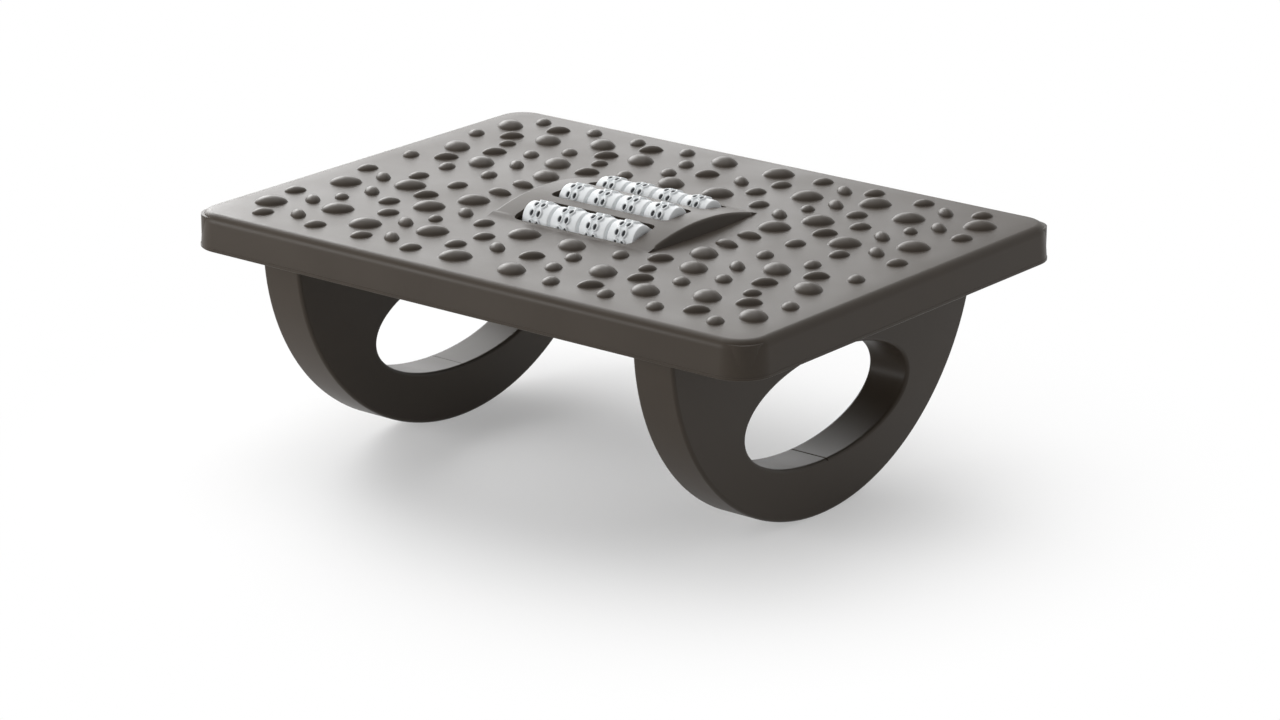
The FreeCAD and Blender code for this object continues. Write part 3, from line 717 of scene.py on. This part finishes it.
unit_data = bpy.data.meshes.new("roller_unit")
unit_mesh = roller_unit()
unit_mesh.to_mesh(unit_data)
unit_mesh.free()
for row, turn_deg in ROW_TURNS_DEG.items():
    axle_low, axle_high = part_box(f"{row}_axle")
    axle_middle = (axle_low + axle_high) / 2
    for number in range(1, UNITS_PER_ROW + 1):
        node = f"{row}_roller_{number}"
        low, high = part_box(node)
        unit = bmesh.new()
        unit.from_mesh(unit_data)
        on_axle = Matrix.Translation(((low.x + high.x) / 2, axle_middle.y, axle_middle.z))
        turned = on_axle @ Matrix.Rotation(math.radians(turn_deg), 4, "X")
        bmesh.ops.transform(unit, matrix=turned, verts=unit.verts)
        barrel = finished(f"{node}_barrel", unit, f"{row}_row", ROLLER_PLASTIC)
        # The second slot holds the painted shade for the pits
        barrel.data.materials.append(PAINTED_PIT_SHADE)
        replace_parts(barrel, node)


# Axles, retainers and screws: drawn steel bars, plain moulded bars that hold them up in
# their slots, and zinc plated screws. They keep their own shapes and get their finishes
STREAK_DARKNESS = 0.7
STREAK_ROUGHNESS_SPREAD = 0.2


def steel(name, colour, roughness, scale):
    """Drawn or plated steel with fine streaks, as many per metre as the scale says."""
    material, nodes, links = new_material(name)
    shader = nodes["Principled BSDF"]
    shader.inputs["Metallic"].default_value = 1
    place = nodes.new("ShaderNodeTexCoord")
    stretched = nodes.new("ShaderNodeMapping")
    stretched.inputs["Scale"].default_value = scale
    streaks = nodes.new("ShaderNodeTexNoise")
    streaks.inputs["Detail"].default_value = 5
    links.new(place.outputs["Object"], stretched.inputs["Vector"])
    links.new(stretched.outputs["Vector"], streaks.inputs["Vector"])
    dark = [STREAK_DARKNESS * share for share in colour]
    streaked = colour_between(nodes, links, streaks.outputs["Fac"], dark, colour)
    links.new(streaked, shader.inputs["Base Color"])
    rough = nodes.new("ShaderNodeMath")
    rough.operation = "MULTIPLY_ADD"
    rough.inputs[1].default_value = STREAK_ROUGHNESS_SPREAD
    rough.inputs[2].default_value = roughness - STREAK_ROUGHNESS_SPREAD / 2
    links.new(streaks.outputs["Fac"], rough.inputs[0])
    links.new(rough.outputs[0], shader.inputs["Roughness"])
    return material


AXLE_STEEL = steel("axle_steel", (0.56, 0.55, 0.54), 0.3, (60, 2600, 2600))
SCREW_STEEL = steel("screw_steel", (0.60, 0.60, 0.58), 0.35, (900, 900, 900))
RETAINER_DARK = (0.018, 0.018, 0.018)
RETAINER_LIGHT = (0.026, 0.026, 0.026)
RETAINER_PLASTIC = plastic("retainer_plastic", RETAINER_DARK, RETAINER_LIGHT, 0.5, 0.00003)
CARRIED_OVER = {
    "front_axle": AXLE_STEEL,
    "middle_axle": AXLE_STEEL,
    "back_axle": AXLE_STEEL,
    "rocker_screws": SCREW_STEEL,
    "retainer_screws": SCREW_STEEL,
    "left_axle_retainer": RETAINER_PLASTIC,
    "right_axle_retainer": RETAINER_PLASTIC,
}
for node, material in CARRIED_OVER.items():
    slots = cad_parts[node].data.materials
    slots.clear()
    slots.append(material)


# Floor and light: a white studio sweep that fades to plain paper white away from the footrest.
# Soft lamps stand above and far behind, a stronger one at the back left, which draws a bright
# edge on each pebble, and a weak one at the front left, which fills the skirt and the rockers
def seen_or_mirrored(nodes, links):
    """A socket that is 1 for rays from the camera and for reflections, and 0 for other light."""
    rays = nodes.new("ShaderNodeLightPath")
    either = nodes.new("ShaderNodeMath")
    either.operation = "MAXIMUM"
    links.new(rays.outputs["Is Camera Ray"], either.inputs[0])
    links.new(rays.outputs["Is Glossy Ray"], either.inputs[1])
    return either.outputs[0]


def studio_white(name):
    """Matte white near the middle, which the camera sees turn into paper white further out."""
    material, nodes, links = new_material(name)
    shader = nodes["Principled BSDF"]
    shader.inputs["Base Color"].default_value = (0.93, 0.93, 0.93, 1)
    shader.inputs["Roughness"].default_value = 0.9
    paper = nodes.new("ShaderNodeEmission")
    place = nodes.new("ShaderNodeTexCoord")
    away = nodes.new("ShaderNodeVectorMath")
    away.operation = "LENGTH"
    links.new(place.outputs["Object"], away.inputs[0])
    fade = nodes.new("ShaderNodeMapRange")
    fade.interpolation_type = "SMOOTHSTEP"
    fade.inputs["From Min"].default_value = 0.1
    fade.inputs["From Max"].default_value = 0.42
    fade.inputs["To Min"].default_value = 0.3
    fade.inputs["To Max"].default_value = 1.0
    links.new(away.outputs["Value"], fade.inputs["Value"])
    share = nodes.new("ShaderNodeMath")
    share.operation = "MULTIPLY"
    links.new(seen_or_mirrored(nodes, links), share.inputs[0])
    links.new(fade.outputs["Result"], share.inputs[1])
    mixed = nodes.new("ShaderNodeMixShader")
    links.new(share.outputs[0], mixed.inputs["Fac"])
    links.new(shader.outputs["BSDF"], mixed.inputs[1])
    links.new(paper.outputs["Emission"], mixed.inputs[2])
    links.new(mixed.outputs["Shader"], nodes["Material Output"].inputs["Surface"])
    return material


floor_mesh = bmesh.new()
bmesh.ops.create_grid(floor_mesh, x_segments=1, y_segments=1, size=12)
floor = placed("studio_floor", floor_mesh, studio_white("studio_white"))

world = bpy.data.worlds.new("studio")
bpy.context.scene.world = world
world.use_nodes = True
world_nodes = world.node_tree.nodes
world_links = world.node_tree.links
background = world_nodes["Background"]
background.inputs["Color"].default_value = (1, 1, 1, 1)
strength = world_nodes.new("ShaderNodeMapRange")
strength.inputs["To Min"].default_value = 0.42
strength.inputs["To Max"].default_value = 1.0
world_links.new(seen_or_mirrored(world_nodes, world_links), strength.inputs["Value"])
world_links.new(strength.outputs["Result"], background.inputs["Strength"])


def softbox(name, place, target, width, height, power):
    """A large rectangular lamp that faces the target."""
    lamp = bpy.data.lights.new(name, "AREA")
    lamp.shape = "RECTANGLE"
    lamp.size = width
    lamp.size_y = height
    lamp.energy = power
    holder = bpy.data.objects.new(name, lamp)
    bpy.context.scene.collection.objects.link(holder)
    towards = (Vector(target) - Vector(place)).to_track_quat("-Z", "Y")
    holder.matrix_world = Matrix.Translation(place) @ towards.to_matrix().to_4x4()


softbox("high", (-0.9, 0.5, 2.1), (0, 0, 0.1), 2.4, 2.0, 26)
softbox("behind", (-3.65, 3.15, 1.6), (0, 0, 0.15), 3.0, 2.4, 62)
softbox("key", (-2.66, 1.24, 1.4), (0, 0, 0.15), 1.7, 1.5, 43)
softbox("front", (-1.0, -1.3, 0.45), (0, 0, 0.1), 1.0, 0.6, 12)
bpy.context.scene.view_settings.view_transform = "Standard"
